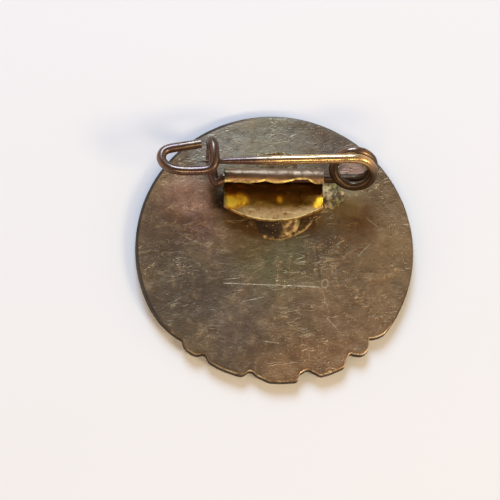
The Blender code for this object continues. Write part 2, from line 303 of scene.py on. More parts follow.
# a point to each degree, closer together where the folds cut the rim and at the cells' corners
badge_angles = [float(t) for t in range(-180, 180)]
folds_from, folds_to = RIM_CUTS[0][0] + 8, RIM_CUTS[-1][0]
badge_angles += [folds_from + 0.3 * i for i in range(round((folds_to - folds_from) / 0.3))]
for _, _, _, first, last in enamel_cells():
    if last - first < 359:
        for corner in (first, last):
            corner = (corner + 180) % 360 - 180
            badge_angles += [corner - 0.12, corner + 0.12]
badge_angles = sorted({round(t, 3) for t in badge_angles})
badge_angles = [t for i, t in enumerate(badge_angles) if i == 0 or t - badge_angles[i - 1] > 0.09]

back_shares = [i / 40 for i in range(1, 41)]
front_radii = {0.6 * MM * i for i in range(1, 22)}
for _, inner, outer, _, _ in enamel_cells():
    for wall_at in (inner, outer):
        if wall_at > 0:
            front_radii |= {wall_at - 0.02 * MM, wall_at + 0.02 * MM}
front_radii = sorted(r for r in front_radii if r < BADGE_RADIUS - RIM_WIDTH + 0.1 * MM)

badge_shape = bmesh.new()
wear_layer = badge_shape.verts.layers.float.new("rubbed")
shade_layer = badge_shape.verts.layers.float.new("painted_shade")


def badge_ring(place, wear, shade_amount=0.0):
    """One ring of points. Only the banner's own edge, which stands proud, is rubbed bright; round the rest
    of the rim that edge is painted shade, as is any share given.
    """
    made = []
    for degrees in badge_angles:
        vert = badge_shape.verts.new(place(degrees))
        proud = 1 - smooth(50, 62, abs(degrees))
        vert[wear_layer] = wear * (0.12 + 0.88 * proud)
        vert[shade_layer] = max(shade_amount, min(1.0, 1.4 * wear) * (1 - proud))
        made.append(vert)
    return made


def back_place(share):
    def place(degrees):
        at = polar((rim_radius(degrees) - BACK_EDGE) * share, degrees)
        # the notches fade out towards the middle, so the rings there are round
        plain = polar((BADGE_RADIUS - BACK_EDGE) * share, degrees)
        at = plain.lerp(at, smooth(0.55, 0.95, share))
        at.z = back_height(at.x, at.y)
        return at

    return place


def edge_place(inset, drop):
    def place(degrees):
        at = polar(rim_radius(degrees) - inset * MM, degrees)
        uneven = noise.noise(at / MM * 2.0) * 0.012
        at.z = back_height(at.x, at.y) - drop * MM
        return at + at.normalized() * uneven * MM

    return place


def wall_place(height, inset):
    def place(degrees):
        at = polar(rim_radius(degrees) - inset * MM, degrees)
        at.z = height * MM
        return at

    return place


def front_place(radius):
    def place(degrees):
        if radius > rim_radius(degrees) - 0.2 * MM:
            return polar(rim_radius(degrees) - 0.2 * MM, degrees, 0.0)
        depth = CELL_DEPTH if in_cell(radius, degrees) else 0.0
        return polar(radius, degrees, depth)

    return place


badge_rings = [badge_ring(back_place(share), 0.0) for share in back_shares]
# in millimetres: how far in from the rim, how far below the back, and how rubbed
BACK_CORNER = ((0.1, 0.008, 0.5), (0.045, 0.035, 1.0), (0.012, 0.085, 1.0), (0.0, 0.16, 0.25))
# the lowest ring of the back's corner is painted shade
for inset, drop, wear in BACK_CORNER:
    badge_rings.append(badge_ring(edge_place(inset, drop), wear, 1.0 if drop > 0.1 else 0.0))
# how high over the paper, how far in from the rim, and how rubbed
WALL_RINGS = (
    (0.9, 0.0, 0.0), (0.6, 0.015, 0.0), (0.35, 0.0, 0.0), (0.12, 0.01, 0.3), (0.03, 0.06, 0.8),
    (0.0, 0.15, 0.6),
)
# the wall is painted shade, fully where it stands over 0.1 mm above the paper and partly below
for high, inset, wear in WALL_RINGS:
    badge_rings.append(badge_ring(wall_place(high, inset), wear, 1.0 if high > 0.1 else 0.3))
for radius in reversed(front_radii):
    badge_rings.append(badge_ring(front_place(radius), 0.3))


def cap_ring(shape, ring, at, turned=False):
    """Close a ring of points with a fan of faces to a point in its middle."""
    middle = shape.verts.new(at)
    for first, after in zip(ring, [*ring[1:], ring[0]]):
        shape.faces.new((middle, after, first) if turned else (middle, first, after))


def join_rings(shape, rings, turned=False, closed=True):
    """Faces from each ring of points to the next."""
    count = len(rings[0])
    for inner, outer in zip(rings, rings[1:]):
        for i in range(count if closed else count - 1):
            after = (i + 1) % count
            sides = (outer[i], outer[after], inner[after])
            shape.faces.new((inner[i], *(reversed(sides) if turned else sides)))


cap_ring(badge_shape, badge_rings[0], (0, 0, back_height(0, 0)))
cap_ring(badge_shape, badge_rings[-1], (0, 0, CELL_DEPTH), turned=True)
join_rings(badge_shape, badge_rings)
badge = finish_piece("badge_metal", badge_shape, sharp=50)


def node_group(name, outputs=("Mask",), **inputs):
    """A shader group. Each input is a plain number, or else the word vector or colour."""
    kinds = {"vector": "NodeSocketVector", "colour": "NodeSocketColor"}
    group = bpy.data.node_groups.new(name, "ShaderNodeTree")
    for label, value in inputs.items():
        kind = kinds.get(value, "NodeSocketFloat")
        socket = group.interface.new_socket(label.replace("_", " "), in_out="INPUT", socket_type=kind)
        if value not in kinds:
            socket.default_value = value
    for label in outputs:
        kind = kinds.get(label.lower(), "NodeSocketFloat")
        group.interface.new_socket(label, in_out="OUTPUT", socket_type=kind)
    return group, group.nodes.new("NodeGroupInput").outputs, group.nodes.new("NodeGroupOutput").inputs


def place_group(tree, group, **inputs):
    inputs = {key.replace("_", " "): value for key, value in inputs.items()}
    return add_node(tree, "ShaderNodeGroup", node_tree=group, inputs=inputs).outputs


def noise_value(tree, vector, scale, detail=4.0, roughness=0.55, distortion=0.0):
    kind = {"Scale": scale, "Detail": detail, "Roughness": roughness, "Distortion": distortion}
    return add_node(tree, "ShaderNodeTexNoise", inputs={"Vector": vector, **kind}).outputs[0]


def vector_step(tree, operation, first, second=None, output=0):
    """A sum on vectors. To scale one, second is the number."""
    inputs = {0: first}
    if second is not None:
        inputs["Scale" if operation == "SCALE" else 1] = second
    return add_node(tree, "ShaderNodeVectorMath", operation=operation, inputs=inputs).outputs[output]


def object_place(tree):
    return add_node(tree, "ShaderNodeTexCoord").outputs["Object"]


def tint(tree, colour, *layers):
    """The colour under layers of (mask, shade), each perhaps with its strength, the last on top."""
    for mask, shade, *strength in layers:
        share = times(tree, mask, *strength) if strength else mask
        colour = blend_colours(tree, share, colour, shade)
    return colour


def highest(tree, masks):
    """The strongest of these masks at each place."""
    top, *others = masks
    for mask in others:
        top = calculate(tree, "MAXIMUM", top, mask)
    return top


def finish_material(tree, shader, relief, depth, strength, **sockets):
    """Wire the worked-out values to the shader, and the relief through a bump of this depth."""
    for name, value in sockets.items():
        tree.links.new(value, shader.inputs[name.replace("_", " ")])
    bump = add_node(
        tree, "ShaderNodeBump", inputs={"Height": relief, "Distance": depth, "Strength": strength}
    )
    tree.links.new(bump.outputs["Normal"], shader.inputs["Normal"])
    return bump


# Fine random scratches: noise stretched long one way and cut to its thin crests
scratches, scratch_in, scratch_out = node_group(
    "fine_scratches", Place="vector", Turn=0.0, Scale=1.0, Amount=0.5
)
turned = add_node(
    scratches,
    "ShaderNodeVectorRotate",
    rotation_type="Z_AXIS",
    inputs={"Vector": scratch_in["Place"], "Angle": scratch_in["Turn"]},
).outputs[0]
stretched = vector_step(scratches, "MULTIPLY", turned, (260.0, 3800.0, 800.0))
sized = vector_step(scratches, "SCALE", stretched, scratch_in["Scale"])
crest = ramp(scratches, noise_value(scratches, sized, 1.0, 1.0, 0.4, 0.4), 0.66, 0.74)
patchy = ramp(scratches, noise_value(scratches, scratch_in["Place"], 420.0, 2.0), 0.45, 0.62)
kept = times(scratches, times(scratches, crest, patchy), scratch_in["Amount"])
scratches.links.new(kept, scratch_out["Mask"])

# Pits and raised specks: small round cells, only some of which are kept
pitting, pit_in, pit_out = node_group("pits", Place="vector", Scale=3000.0, Amount=0.3)
cells = add_node(
    pitting, "ShaderNodeTexVoronoi", inputs={"Vector": pit_in["Place"], "Scale": pit_in["Scale"]}
)
dots = ramp(pitting, cells.outputs["Distance"], 0.34, 0.12)
lot = add_node(pitting, "ShaderNodeSeparateColor", inputs={0: cells.outputs["Color"]}).outputs[0]
kept = calculate(pitting, "LESS_THAN", lot, pit_in["Amount"])
pitting.links.new(times(pitting, dots, kept), pit_out["Mask"])

# One drawn line from a point to a point, as a scriber or a knock leaves it
marking, mark_in, mark_out = node_group(
    "scribed_line", Place="vector", From="vector", To="vector", Width=0.1 * MM
)
flat_place = vector_step(marking, "MULTIPLY", mark_in["Place"], (1.0, 1.0, 0.0))
to_place = vector_step(marking, "SUBTRACT", flat_place, mark_in["From"])
along_line = vector_step(marking, "SUBTRACT", mark_in["To"], mark_in["From"])
dotted = vector_step(marking, "DOT_PRODUCT", to_place, along_line, "Value")
squared = vector_step(marking, "DOT_PRODUCT", along_line, along_line, "Value")
share_along = calculate(marking, "DIVIDE", dotted, squared, clamp=True)
nearest = vector_step(marking, "SCALE", along_line, share_along)
gap_to_line = vector_step(marking, "DISTANCE", to_place, nearest, "Value")
ragged = times(marking, noise_value(marking, mark_in["Place"], 1900.0, 3.0), mark_in["Width"])
near = minus(marking, gap_to_line, ragged)
marking.links.new(ramp(marking, near, mark_in["Width"], 0.0), mark_out["Mask"])

# A soft round patch of another tint
patching, patch_in, patch_out = node_group(
    "tint_patch", Place="vector", Centre="vector", Reach=4 * MM, Ragged=0.5
)
patch_flat = vector_step(patching, "MULTIPLY", patch_in["Place"], (1.0, 1.0, 0.0))
patch_off = vector_step(patching, "DISTANCE", patch_flat, patch_in["Centre"], "Value")
patch_share = calculate(patching, "DIVIDE", patch_off, patch_in["Reach"])
patch_noise = minus(patching, noise_value(patching, patch_in["Place"], 330.0, 6.0), 0.5)
patch_rough = times(patching, patch_noise, patch_in["Ragged"])
patch_edge = plus(patching, patch_share, times(patching, patch_rough, 4.0))
patching.links.new(ramp(patching, patch_edge, 1.25, 0.35), patch_out["Mask"])

# Worn edges: bare metal in a broken pattern, where the mesh is marked as rubbed
wearing, wear_in, wear_out = node_group(
    "edge_wear", ("Colour", "Mask"),
    Colour="colour", Bare="colour", Amount=1.0, Pattern=0.5, Low=0.4, High=0.6, Least=0.0,
)
rubbed = add_node(wearing, "ShaderNodeAttribute", attribute_name="rubbed").outputs["Fac"]
broken = ramp(wearing, wear_in["Pattern"], wear_in["Low"], wear_in["High"], wear_in["Least"], 1.0)
bare = times(wearing, times(wearing, rubbed, broken), wear_in["Amount"], clamp=True)
wearing.links.new(bare, wear_out["Mask"])
wearing.links.new(blend_colours(wearing, bare, wear_in["Colour"], wear_in["Bare"]), wear_out["Colour"])

# Painted shade: the colour darkened towards a deep shade, and the metal made duller and less metallic, where
# the mesh is marked for it
shade_painting, shade_in, shade_out = node_group(
    "painted_shade_dulling", ("Colour", "Metallic", "Roughness"),
    Colour="colour", Dirt="colour", Cover=0.9, Also=0.0,
    Metallic=0.9, Less_Metallic=0.0, Roughness=0.4, More_Roughness=0.2,
)
painted_shade = add_node(shade_painting, "ShaderNodeAttribute", attribute_name="painted_shade").outputs["Fac"]
painted_shade = calculate(shade_painting, "MAXIMUM", painted_shade, shade_in["Also"])
covered = times(shade_painting, painted_shade, shade_in["Cover"])
covered = blend_colours(shade_painting, covered, shade_in["Colour"], shade_in["Dirt"])
shade_painting.links.new(covered, shade_out["Colour"])
for name, change, step in (("Metallic", "Less Metallic", minus), ("Roughness", "More Roughness", plus)):
    changed = step(shade_painting, shade_in[name], times(shade_painting, painted_shade, shade_in[change]), clamp=True)
    shade_painting.links.new(changed, shade_out[name])

tombac, tree, shader = new_material("tarnished_tombac")
place = object_place(tree)
broad = noise_value(tree, place, 150.0, 6.0, 0.62, 0.6)
small = noise_value(tree, place, 1100.0, 5.0, 0.62, 0.3)
wiped = noise_value(tree, vector_step(tree, "MULTIPLY", place, (900.0, 1700.0, 900.0)), 1.0, 5.0, 0.6, 1.6)
# wrinkles: the thin crests of a bent noise, in some places only
wrinkle_place = vector_step(tree, "MULTIPLY", place, (520.0, 900.0, 600.0))
wrinkle = noise_value(tree, wrinkle_place, 1.0, 2.0, 0.5, 0.9)
wrinkle = ramp(tree, calculate(tree, "ABSOLUTE", minus(tree, wrinkle, 0.62)), 0.045, 0.0)
wrinkle = times(tree, wrinkle, ramp(tree, noise_value(tree, place, 210.0, 2.0), 0.42, 0.6))
grit = noise_value(tree, place, 4200.0, 3.0, 0.6)
colour = blend_colours(tree, ramp(tree, broad, 0.35, 0.66), rgb(113, 90, 65), rgb(133, 106, 73))
TINTS_AND_PAINTED_LIGHT = (  # centre and reach in millimetres, colour, strength
    (-1.0, 12.0, 6.5, rgb(160, 148, 122), 0.75),
    (-6.5, 11.0, 3.5, rgb(170, 158, 140), 0.6),
    (6.0, 11.0, 5.0, rgb(122, 106, 92), 0.5),
    (-8.8, 4.7, 3.6, rgb(184, 136, 112), 0.7),
    (-7.2, 2.0, 2.6, rgb(124, 90, 88), 0.45),
    (-11.5, 2.0, 4.0, rgb(98, 76, 58), 0.7),
    (-9.0, -4.0, 6.0, rgb(100, 84, 68), 0.6),
    (0.5, -0.8, 4.2, rgb(112, 102, 66), 0.7),
    (2.6, -6.4, 2.4, rgb(96, 78, 60), 0.6),
    (6.2, -11.4, 2.2, rgb(186, 138, 96), 0.7),
    (-3.5, -8.0, 4.5, rgb(110, 92, 78), 0.4),
    (8.0, -8.0, 7.0, rgb(146, 110, 76), 0.65),
    (11.5, 2.0, 5.5, rgb(152, 118, 80), 0.6),
    (1.5, -12.0, 4.5, rgb(156, 114, 76), 0.65),
    (6.0, 5.2, 3.0, rgb(168, 146, 98), 0.5),
    # painted shade on the back beside the clip's left end, and where the arm leaves its right end
    (-5.35, 4.8, 1.15, rgb(44, 34, 20), 0.9),
    (-5.45, 6.0, 1.0, rgb(60, 46, 26), 0.8),
    (5.0, 7.2, 1.0, rgb(66, 50, 34), 0.7),
    # a painted patch of light on the back, seen through the spring
    (7.8, 8.1, 1.4, rgb(200, 152, 128), 0.7),
    (-2.6, 1.2, 2.6, rgb(116, 84, 44), 0.6),
)


def round_patch(tree, place, x, y, reach, ragged):
    """The mask of a tint patch, its centre and reach in millimetres."""
    at = (x * MM, y * MM, 0)
    return place_group(tree, patching, Place=place, Centre=at, Reach=reach * MM, Ragged=ragged)["Mask"]


def drawn_line(tree, place, x1, y1, x2, y2, width):
    """The mask of a scribed line, in millimetres."""
    start, end = (x1 * MM, y1 * MM, 0), (x2 * MM, y2 * MM, 0)
    return place_group(tree, marking, Place=place, From=start, To=end, Width=width * MM)["Mask"]


for x, y, reach, shade, strength in TINTS_AND_PAINTED_LIGHT:
    colour = tint(tree, colour, (round_patch(tree, place, x, y, reach, 0.5), shade, strength))
colour = tint(
    tree, colour,
    (ramp(tree, small, 0.5, 0.72, 0.0, 0.4), rgb(178, 146, 108)),
    (ramp(tree, small, 0.5, 0.3, 0.0, 0.4), rgb(88, 66, 46)),
    (ramp(tree, wiped, 0.56, 0.74, 0.0, 0.17), rgb(182, 152, 112)),
    (ramp(tree, wiped, 0.44, 0.28, 0.0, 0.2), rgb(92, 70, 52)),
    # wrinkle crests painted paler: a painted glint along them, over the real bump
    (wrinkle, rgb(206, 180, 138), 0.16),
)
LINES = (  # the marks that can be told apart: from x, y to x, y, width in millimetres, strength
    (-5.15, -3.6, 4.3, -3.9, 0.045, 0.5), (-5.1, -3.2, -3.6, -3.05, 0.04, 0.35),
    (2.3, -3.75, 4.4, -3.95, 0.07, 0.35), (4.8, -4.5, 5.4, -6.6, 0.05, 0.3),
    (-3.3, -5.5, -1.2, -5.0, 0.04, 0.3), (1.0, -6.6, 2.4, -6.3, 0.04, 0.3),
    (2.2, 1.2, 3.5, 1.5, 0.04, 0.3), (5.2, -7.2, 6.2, -8.3, 0.05, 0.5),
    (-9.0, 1.2, -7.9, 0.7, 0.05, 0.35), (8.4, -0.6, 9.6, 0.6, 0.05, 0.35),
    (9.4, 3.3, 10.4, 2.5, 0.05, 0.4), (-1.1, -9.6, 0.2, -9.75, 0.06, 0.35),
)
scored = highest(tree, [times(tree, drawn_line(tree, place, *mark), strength) for *mark, strength in LINES])
scored = times(tree, scored, ramp(tree, grit, 0.3, 0.55, 0.25, 1.0))
# a small oval dent at the end of the long scratch
oval = {"Location": (5.0 * MM, -3.55 * MM, BACK_Z), "Scale": (0.3 * MM, 0.42 * MM, 1.0)}
dent_place = add_node(
    tree, "ShaderNodeMapping", vector_type="TEXTURE",
    inputs={"Vector": place, "Rotation": (0, 0, -0.25), **oval},
).outputs[0]
dent_off = vector_step(tree, "LENGTH", dent_place, output="Value")
dent = times(tree, ramp(tree, dent_off, 0.7, 1.0), ramp(tree, dent_off, 1.35, 1.05))
hair = highest(
    tree,
    [
        place_group(tree, scratches, Place=place, Turn=turn, Scale=scale, Amount=amount)["Mask"]
        for turn, scale, amount in ((0.12, 1.5, 0.42), (-0.5, 1.9, 0.32), (1.4, 2.1, 0.3))
    ],
)
crowd = ramp(tree, noise_value(tree, place, 260.0, 3.0), 0.46, 0.62)
sparkle = place_group(tree, pitting, Place=place, Scale=4300.0, Amount=0.3)["Mask"]
sparkle = times(tree, sparkle, crowd)
specks = place_group(tree, pitting, Place=place, Scale=2300.0, Amount=0.12)["Mask"]
light_marks = highest(tree, (scored, times(tree, hair, 0.38), times(tree, dent, 0.35)))
colour = tint(
    tree, colour,
    (sparkle, rgb(206, 182, 134), 0.4),
    (specks, rgb(70, 54, 42), 0.4),
    (light_marks, rgb(212, 192, 158)),
    (drawn_line(tree, place, 4.2, 0.4, 4.5, -2.9, 0.13), rgb(74, 58, 40), 0.5),  # a dark crease
)
# painted shade: the marked wall and edges, and the rim at the left, are painted dark and dull where they lie
# in shade
flat_place = vector_step(tree, "MULTIPLY", place, (1.0, 1.0, 0.0))
from_middle = vector_step(tree, "LENGTH", flat_place, output="Value")
leftward = add_node(tree, "ShaderNodeSeparateXYZ", inputs={0: place}).outputs["X"]
shaded_rim = ramp(tree, from_middle, BADGE_RADIUS - 0.36 * MM, BADGE_RADIUS - 0.2 * MM)
shade_look = place_group(
    tree, shade_painting, Colour=colour, Dirt=rgb(36, 27, 21), Cover=0.9,
    Also=times(tree, shaded_rim, ramp(tree, leftward, 1.0 * MM, -6.0 * MM)),
    Metallic=0.9, Less_Metallic=0.75,
    Roughness=ramp(tree, broad, 0.3, 0.7, 0.42, 0.54), More_Roughness=0.25,
)
# the rubbed edges are painted fainter towards the left, the side in shade
worn = place_group(
    tree, wearing, Colour=shade_look["Colour"], Bare=rgb(238, 214, 176),
    Pattern=noise_value(tree, place, 620.0, 4.0), Low=0.4, High=0.58,
    Amount=ramp(tree, leftward, -8.0 * MM, 1.0 * MM, 0.4, 1.0),
)
relief = times(tree, small, 0.9)
for mark, height in (
    (wiped, 0.5), (wrinkle, 0.7), (specks, -0.35), (sparkle, 0.5), (light_marks, -0.5), (grit, 0.3),
):
    relief = plus(tree, relief, times(tree, mark, height))
shine = minus(tree, shade_look["Roughness"], times(tree, worn["Mask"], 0.2))
finish_material(
    tree, shader, relief, 0.05 * MM, 1.0,
    Base_Color=worn["Colour"], Metallic=shade_look["Metallic"], Roughness=shine,
)
badge.data.materials.append(tombac)
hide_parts("badge_body")
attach(badge, "badge")

# ---------------------------------------------------------------------------
# The enamel: glass powder melted into the cells of the front and ground flush.
# The colours are plain, with the dark one in the middle.
# ---------------------------------------------------------------------------

ENAMEL_SAG = 0.03 * MM


def enamel_material(name, deep, light):
    made, tree, shader = new_material(name)
    place = object_place(tree)
    clouds = noise_value(tree, place, 260.0, 5.0)
    colour = blend_colours(tree, ramp(tree, clouds, 0.35, 0.7), deep, light)
    bubbles = place_group(tree, pitting, Place=place, Scale=2600.0, Amount=0.05)["Mask"]
    colour = tint(tree, colour, (bubbles, rgb(24, 20, 18), 0.5))
    hazy = place_group(tree, scratches, Place=place, Turn=0.7, Scale=1.1, Amount=0.6)["Mask"]
    gloss = plus(tree, times(tree, hazy, 0.3), 0.14)
    bump = finish_material(tree, shader, bubbles, 0.02 * MM, 0.5, Base_Color=colour, Roughness=gloss)
    bump.invert = True
    shader.inputs["IOR"].default_value = 1.55
    return made


dark_enamel = enamel_material("dark_blue_enamel", rgb(18, 34, 84), rgb(28, 48, 104))
light_enamel = enamel_material("cream_enamel", rgb(196, 190, 172), rgb(214, 208, 190))
for name, inner, outer, first, last in enamel_cells():
    whole = last - first > 359
    steps = 180 if whole else max(12, round(last - first))
    rows = 16 if whole else 10
    shape = bmesh.new()
    grid = []
    for k in range(rows + 1):
        share = k / rows
        row = []
        for i in range(steps if whole else steps + 1):
            turn = i / steps
            hollow = 4 * share * (1 - share) if not whole else 1 - share * share
            if not whole:
                hollow = min(hollow, 24 * turn * (1 - turn), 1.0)
            radius = inner + (outer - inner) * share
            row.append(shape.verts.new(polar(radius, first + (last - first) * turn, ENAMEL_SAG * hollow)))
        grid.append(row)
    join_rings(shape, grid, turned=True, closed=whole)
    bmesh.ops.remove_doubles(shape, verts=shape.verts, dist=0.001 * MM)
    bmesh.ops.dissolve_degenerate(shape, edges=shape.edges, dist=0.0005 * MM)
    bmesh.ops.recalc_face_normals(shape, faces=shape.faces)
    if shape.faces[:][0].normal.z > 0:
        bmesh.ops.reverse_faces(shape, faces=shape.faces)
    fill = finish_piece(name + "_fill", shape, sharp=40)
    body = fill.modifiers.new("glass_depth", "SOLIDIFY")
    body.thickness = CELL_DEPTH - ENAMEL_SAG
    body.offset = -1
    fill.data.materials.append(dark_enamel if name == "enamel_centre" else light_enamel)
    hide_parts(name)
    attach(fill, "badge")

# ---------------------------------------------------------------------------
# The solder: a flat pool run out round the clip's foot, with a crust of burnt
# flux round its edge, a splash beside the clip, and the stub that it grips.
# ---------------------------------------------------------------------------

pad_low, pad_high = (Vector(corner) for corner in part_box("solder_pad"))
post_low, post_high = (Vector(corner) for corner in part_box("clip_post"))
pad_centre = (pad_low + pad_high) / 2
pad_radius = (pad_high.x - pad_low.x) / 2
post_centre = (post_low + post_high) / 2
POST_RADIUS = 1.85 * MM
STUB_SIDES = 96


def all_round(angle):
    return 1.0


def top_and_lower_right(angle):
    """Where the solder froze in a bead. Round the rest of its edge it wetted out to nothing."""
    degrees = (math.degrees(angle) + 180) % 360 - 180
    top = smooth(50, 62, degrees) * (1 - smooth(112, 124, degrees))
    lower = smooth(-122, -104, degrees) * (1 - smooth(-40, -18, degrees))
    return max(top, lower)


def under_the_clip(x, y):
    """Painted shade on the pool in front of the stub, under the clip's front edge, in millimetres from the
    badge's middle.
    """
    across = smooth(-2.1, -1.6, x) * (1 - smooth(0.4, 0.8, x))
    return across * smooth(1.3, 1.7, y) * (1 - smooth(4, 5, y))


def lit_patch_by_the_stub(x, y):
    """Painted light: a pale patch of solder beside that shade, where the stub's front catches the lamp."""
    across = smooth(0.7, 1.0, x) * (1 - smooth(1.7, 2.1, x))
    return 0.8 * across * smooth(1.6, 2.1, y) * (1 - smooth(4, 5, y))


def pool(name, centre, radius, thickness, rings, turns, ragged, bead, seed, beaded, crusted=0.0):
    """A low pool of solder: a disc with a wandering edge that ends just under the badge's back."""
    shape = bmesh.new()
    crust_and_lit_patch = shape.verts.layers.float.new("crust_and_lit_patch")
    shade_paint = shape.verts.layers.float.new("painted_shade")
    rows = []
    for k in range(1, rings + 1):
        share = k / rings
        row = []
        for i in range(turns):
            angle = 2 * math.pi * i / turns
            way = Vector((math.cos(angle), math.sin(angle), 0))
            wander = noise.noise(way * 2.2 + Vector((seed, 0, 0))) * ragged
            wander += noise.noise(way * 9.0 + Vector((0, seed, 0))) * ragged * 0.35
            at = Vector((centre.x, centre.y, 0)) + way * radius * share * (1 + wander * share)
            lump = noise.noise(at / MM * 1.6 + Vector((seed, seed, 0)))
            fine = noise.noise(at / MM * 5.5 + Vector((0, 0, seed)))
            there = beaded(angle)
            rim = there * math.exp(-(((share - 0.93) / 0.045) ** 2))
            gone = smooth(0.93 * there + 0.6 * (1 - there), 1.0, share)
            height = thickness * (0.55 + 0.45 * lump) + rim * bead * max(0.0, 0.7 + 1.3 * fine)
            height += fine * 0.02 * MM
            vert = shape.verts.new((at.x, at.y, 0))
            vert.co.z = back_height(at.x, at.y) + height * (1 - gone) - 0.05 * MM * gone
            vert[crust_and_lit_patch] = min(1.0, rim * max(0.0, 0.35 + 2.2 * fine) + max(0.0, fine - 0.25) + crusted)
            # painted light: the pale lit patch beside the stub is marked with flux
            vert[crust_and_lit_patch] = max(vert[crust_and_lit_patch], lit_patch_by_the_stub(at.x / MM, at.y / MM))
            vert[shade_paint] = under_the_clip(at.x / MM, at.y / MM)
            row.append(vert)
        rows.append(row)
    cap_ring(shape, rows[0], (centre.x, centre.y, back_height(centre.x, centre.y) + thickness * 0.6))
    join_rings(shape, rows)
    underside = shape.faces.new(list(reversed(rows[-1])))
    bmesh.ops.triangulate(shape, faces=[underside])
    return finish_piece(name, shape)


solder_pool = pool(
    "solder_pool", pad_centre, pad_radius * 0.985, thickness=0.07 * MM, rings=40, turns=220,
    ragged=0.05, bead=0.12 * MM, seed=4.2, beaded=top_and_lower_right,
)
splash = pool(
    "solder_splash", Vector((5.7, 5.6, 0)) * MM, 1.35 * MM, thickness=0.12 * MM, rings=24, turns=96,
    ragged=0.35, bead=0.12 * MM, seed=11.5, beaded=all_round, crusted=1.0,
)

solder, tree, shader = new_material("burnt_solder")
place = object_place(tree)
broad = noise_value(tree, place, 320.0, 6.0, 0.6, 0.4)
small = noise_value(tree, place, 1500.0, 4.0, 0.6)
colour = blend_colours(tree, ramp(tree, broad, 0.35, 0.65), rgb(110, 84, 52), rgb(128, 104, 74))
crust_and_lit_patch = add_node(tree, "ShaderNodeAttribute", attribute_name="crust_and_lit_patch").outputs["Fac"]
# this mask also carries the painted light on the stub and the patch beside it
crust_and_lit_mask = times(tree, crust_and_lit_patch, ramp(tree, small, 0.42, 0.6), clamp=True)
green = ramp(tree, noise_value(tree, place, 1300.0, 3.0), 0.46, 0.6)
flux = blend_colours(tree, green, rgb(212, 186, 138), rgb(158, 152, 96))
# painted shade, a deep brown, where the stub and pool are marked for it
shade_look = place_group(
    tree, shade_painting, Colour=tint(tree, colour, (crust_and_lit_mask, flux)), Dirt=rgb(46, 30, 20), Cover=0.9,
    Metallic=minus(tree, 0.8, times(tree, crust_and_lit_mask, 0.4)), Less_Metallic=0.5,
    Roughness=plus(tree, times(tree, crust_and_lit_mask, 0.25), 0.42), More_Roughness=0.3,
)
dust = place_group(tree, pitting, Place=place, Scale=3400.0, Amount=0.22)["Mask"]
colour = tint(tree, shade_look["Colour"], (dust, rgb(214, 190, 140), 0.5))
relief = plus(tree, small, times(tree, noise_value(tree, place, 4200.0, 2.0), 0.6))
relief = plus(tree, relief, times(tree, dust, 0.6))
finish_material(
    tree, shader, relief, 0.05 * MM, 0.9,
    Base_Color=colour, Metallic=shade_look["Metallic"], Roughness=shade_look["Roughness"],
)
for piece in (solder_pool, splash):
    piece.data.materials.append(solder)
    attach(piece, "badge")
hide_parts("solder_pad")

POST_RINGS = (  # share of the way up, share of the radius: a fillet at the foot and a round top
    (0.0, 1.2), (0.04, 1.12), (0.1, 1.06), (0.22, 1.01), (0.4, 0.98), (0.6, 0.95),
    (0.78, 0.9), (0.9, 0.82), (0.97, 0.7), (1.0, 0.5), (1.0, 0.2),
)
post_bottom = BACK_Z + 0.02 * MM
post_rise = post_high.z + 0.05 * MM - post_bottom  # its top sits just inside the clip's sheet
shape = bmesh.new()
crust_and_lit_patch = shape.verts.layers.float.new("crust_and_lit_patch")
shade_paint = shape.verts.layers.float.new("painted_shade")
rows = []
for up, wide in POST_RINGS:
    row = []
    for i in range(STUB_SIDES):
        angle = 2 * math.pi * i / STUB_SIDES
        way = Vector((math.cos(angle), math.sin(angle), 0))
        lump = noise.noise(way * 1.8 + Vector((2.5, 0, up * 0.8))) * 0.09
        lump += noise.noise(way * 6.0 + Vector((0, 4.0, up * 3.0))) * 0.03
        # the solder climbed the right front side further
        climb = 0.12 * max(0.0, way.dot(Vector((0.75, -0.66, 0)))) * (1 - up)
        at = Vector((post_centre.x, post_centre.y, 0)) + way * POST_RADIUS * wide * (1 + lump + climb)
        vert = shape.verts.new((at.x, at.y, post_bottom + post_rise * up))
        # flux where the solder climbed, and painted light as pale flux on the stub's right side
        vert[crust_and_lit_patch] = max(0.0, climb * 5 + lump * 2) + 0.7 * smooth(0.2, 0.5, way.x * wide)
        ragged = 0.25 * noise.noise(way * 3.0 + Vector((up * 2.0, 0, 0)))
        # painted shade over the stub except its right side
        vert[shade_paint] = 1 - smooth(0.12, 0.34, way.x * wide + ragged)
        row.append(vert)
    rows.append(row)
join_rings(shape, rows, turned=True)
shape.faces.new(list(reversed(rows[0])))
shape.faces.new(rows[-1])
stub = finish_piece("solder_stub", shape, sharp=60)
stub.data.materials.append(solder)
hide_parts("clip_post")
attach(stub, "badge")

# ---------------------------------------------------------------------------
# The clip: a half-moon stamped from sheet brass, still bright. Its straight
# side is rolled over the pin's arm and crimped, which leaves a wavy free edge.
# ---------------------------------------------------------------------------

SHEET = 0.4 * MM
CLIP_WIDTH = 10.0 * MM
CLIP_CENTRE_X = -0.2 * MM
CLIP_FRONT_Y = 2.5 * MM
CLIP_FRONT_RADIUS = 9.6 * MM
CLIP_LIP = 0.2 * MM  # how far its front edge is turned up
CLIP_END_CURL = 0.3 * MM
ROLL_CLEARANCE = 0.1 * MM
ROLL_END_ANGLE = 142.0  # degrees round the arm, at which the free edge ends
CRIMP_DENT = 26.0  # degrees that the crimp draws that edge back
CRIMP_DENT_AT = 0.6
CRIMP_DENT_WIDTH = 0.22
WIRE_RADIUS = 0.475 * MM
ARM_Y = 6.85 * MM
CLIP_Z = post_high.z + 0.04 * MM
ARM_Z = CLIP_Z + SHEET + ROLL_CLEARANCE + WIRE_RADIUS
ROLL_RADIUS = WIRE_RADIUS + ROLL_CLEARANCE + SHEET / 2


